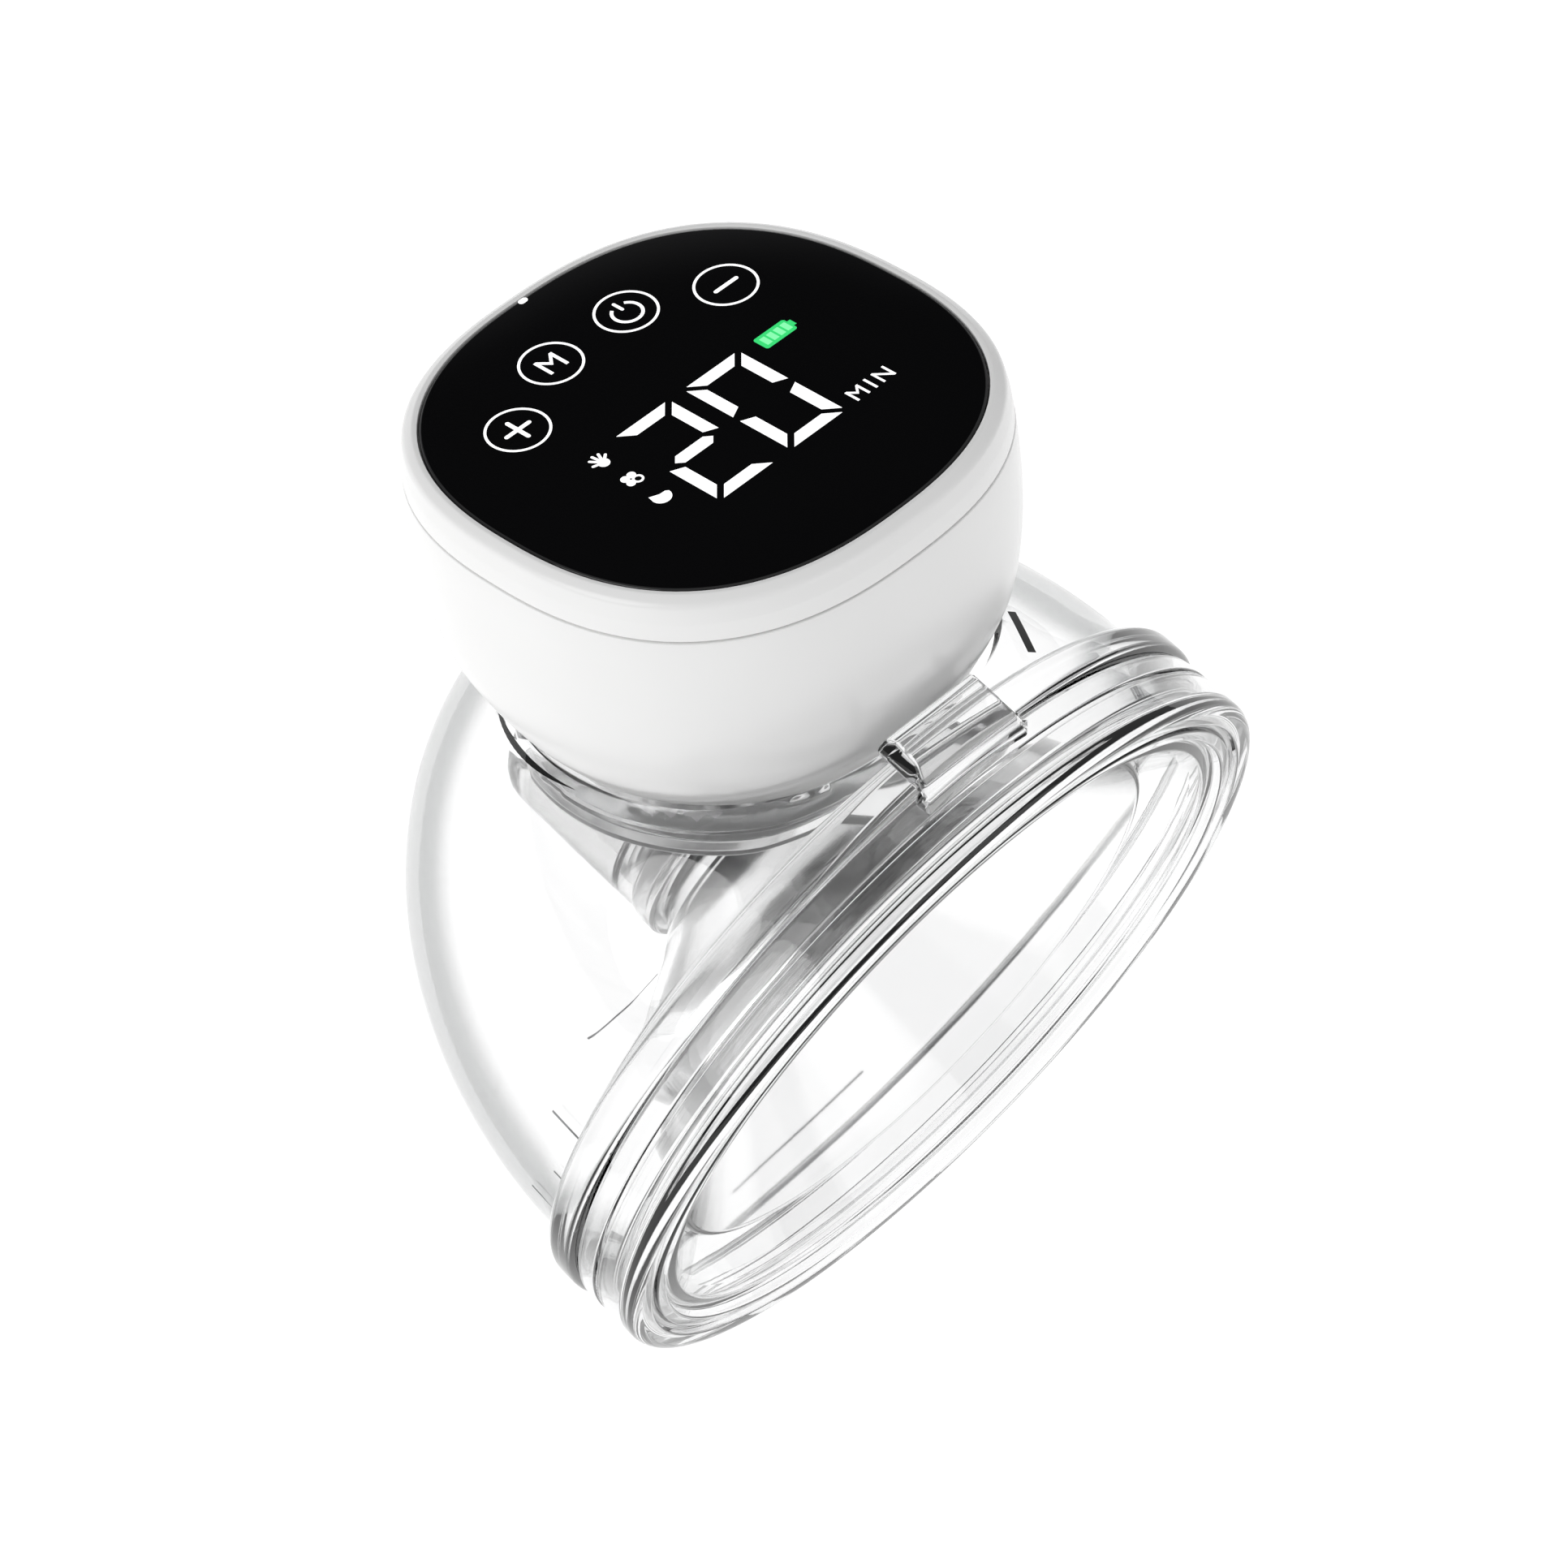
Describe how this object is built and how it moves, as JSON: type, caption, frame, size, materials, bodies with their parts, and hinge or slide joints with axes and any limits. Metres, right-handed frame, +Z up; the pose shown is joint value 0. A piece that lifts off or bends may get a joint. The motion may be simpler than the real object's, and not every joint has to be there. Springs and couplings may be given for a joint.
{
  "type": "wearable breast pump",
  "caption": "Wearable breast pump: white squircle motor unit with a black touch display, on a clear domed milk cup with a clear push-fit breast shield.",
  "frame": {"origin": "centre of the breast shield's front lip, in the plane that rests on the wearer", "axes": "+Z up as worn, -Y towards the wearer, +X the side the display's text runs to; the motor unit leans 20.5 degrees forward"},
  "size_m": [0.1152, 0.0943, 0.1407],
  "materials": {
    "white_shell": "white ABS, satin gloss",
    "black_panel": "black-backed acrylic, gloss",
    "clear_plastic": "clear polypropylene/Tritan-type plastic",
    "frosted_plastic": "lightly frosted clear plastic",
    "clear_silicone": "clear food-grade silicone",
    "mask_plastic": "black light mask",
    "foam": "dark foam",
    "circuit_board": "green solder mask",
    "chassis_plastic": "grey moulded plastic",
    "battery_wrap": "blue shrink wrap",
    "steel": "plain steel",
    "pump_plastic": "dark moulded plastic",
    "connector_plastic": "black connector housing"
  },
  "bodies": {
    "shield": {"breast_shield": "clear_plastic", "flange_insert": "clear_silicone"},
    "cup": {"milk_cup": "clear_plastic", "cup_rim_seal": "clear_silicone", "linker_body": "frosted_plastic", "tunnel_seal_ring": "clear_silicone"},
    "membrane": {"silicone_diaphragm": "clear_silicone"},
    "valve": {"duckbill_valve": "clear_silicone"},
    "motor_unit": {"touch_panel": "black_panel", "bezel_shell": "white_shell", "lower_shell": "white_shell", "light_mask": "mask_plastic", "key_pad_plus": "foam", "key_pad_mode": "foam", "key_pad_power": "foam", "key_pad_minus": "foam", "display_board": "circuit_board", "board_connector": "connector_plastic", "main_board": "circuit_board", "chassis_frame": "chassis_plastic", "battery_pad": "foam", "battery_cell": "battery_wrap", "pump_motor": "steel", "motor_sleeve": "pump_plastic", "pump_head": "pump_plastic", "air_nozzle": "chassis_plastic", "nozzle_o_ring": "clear_silicone", "air_tube": "clear_silicone", "release_valve": "steel", "usb_port": "steel", "base_gasket": "clear_silicone", "case_screw_1": "steel", "case_screw_2": "steel", "case_screw_3": "steel", "case_screw_4": "steel"},
    "crank": {"pump_crank": "steel"},
    "plunger": {"valve_plunger": "chassis_plastic"},
    "port_cover": {"port_cover": "clear_silicone"}
  },
  "joints": [
    {"name": "cup_pull_off", "type": "slide", "parent": "shield", "child": "cup", "axis": [0, 1, 0], "range_m": [0, 0.045]},
    {"name": "motor_lift_off", "type": "slide", "parent": "cup", "child": "motor_unit", "axis": [0, 0.3502, 0.9367], "range_m": [0, 0.05]},
    {"name": "diaphragm_pulse", "type": "slide", "parent": "cup", "child": "membrane", "axis": [0, -0.3502, -0.9367], "range_m": [0, 0.0018], "stiffness_N_per_m": 300, "deforming": ["silicone_diaphragm"]},
    {"name": "valve_pull_off", "type": "slide", "parent": "cup", "child": "valve", "axis": [0, 0, -1], "range_m": [0, 0.005]},
    {"name": "crank_spin", "type": "hinge", "parent": "motor_unit", "child": "crank", "pos_m": [0, 0.05344, 0.04399], "axis": [1, 0, 0], "continuous": true},
    {"name": "release_plunger", "type": "slide", "parent": "motor_unit", "child": "plunger", "axis": [-1, 0, 0], "range_m": [0, 0.0015], "stiffness_N_per_m": 150},
    {"name": "port_cover_swing", "type": "hinge", "parent": "motor_unit", "child": "port_cover", "pos_m": [0, 0.08771, 0.03886], "axis": [-1, 0, 0], "range_deg": [0, 100]}
  ]
}
